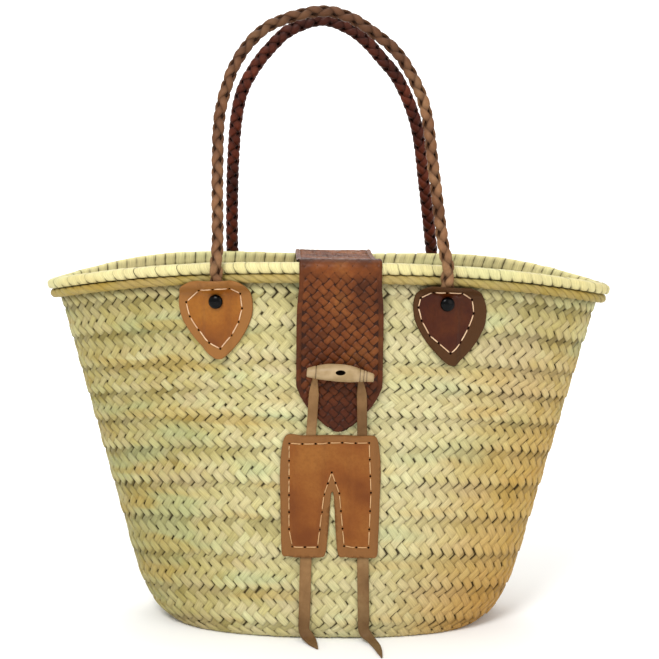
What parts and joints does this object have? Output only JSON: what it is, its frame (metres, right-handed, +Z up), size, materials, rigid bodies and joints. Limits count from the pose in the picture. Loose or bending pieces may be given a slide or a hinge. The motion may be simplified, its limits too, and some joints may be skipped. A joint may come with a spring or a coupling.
{
  "type": "straw basket bag",
  "caption": "Open oval woven straw basket with a rolled rim, tall braided leather handles on riveted shields, and a woven leather flap held by a toggle and lace loop",
  "frame": {"origin": "centre of the flat base, on the surface that it stands on", "axes": "+Z up, -Y out of the front with the toggle, X along the mouth"},
  "size_m": [0.4603, 0.2084, 0.496],
  "materials": {
    "straw": "woven palm leaf",
    "straw_band": "smooth palm leaf",
    "straw_rope": "twisted palm leaf",
    "leather_tan": "satin",
    "leather_brown": "satin",
    "leather_flap": "woven, satin",
    "leather_handle_front": "braided, satin",
    "leather_handle_back": "braided, satin",
    "leather_lace": "matt",
    "bone": "satin",
    "dark_metal": "gloss"
  },
  "bodies": {
    "root": {"basket": "straw", "rim_band": "straw_band", "rim_rope": "straw_rope", "handle_front": "leather_handle_front", "handle_back": "leather_handle_back", "handle_patch_front_left": "leather_tan", "handle_patch_back_left": "leather_tan", "handle_patch_front_right": "leather_brown", "handle_patch_back_right": "leather_brown", "rivet_front_left": "dark_metal", "rivet_front_right": "dark_metal", "rivet_back_left": "dark_metal", "rivet_back_right": "dark_metal", "flap": "leather_flap", "toggle": "bone", "toggle_thong": "leather_lace", "lace": "leather_lace", "closure_patch": "leather_tan"}
  },
  "joints": []
}
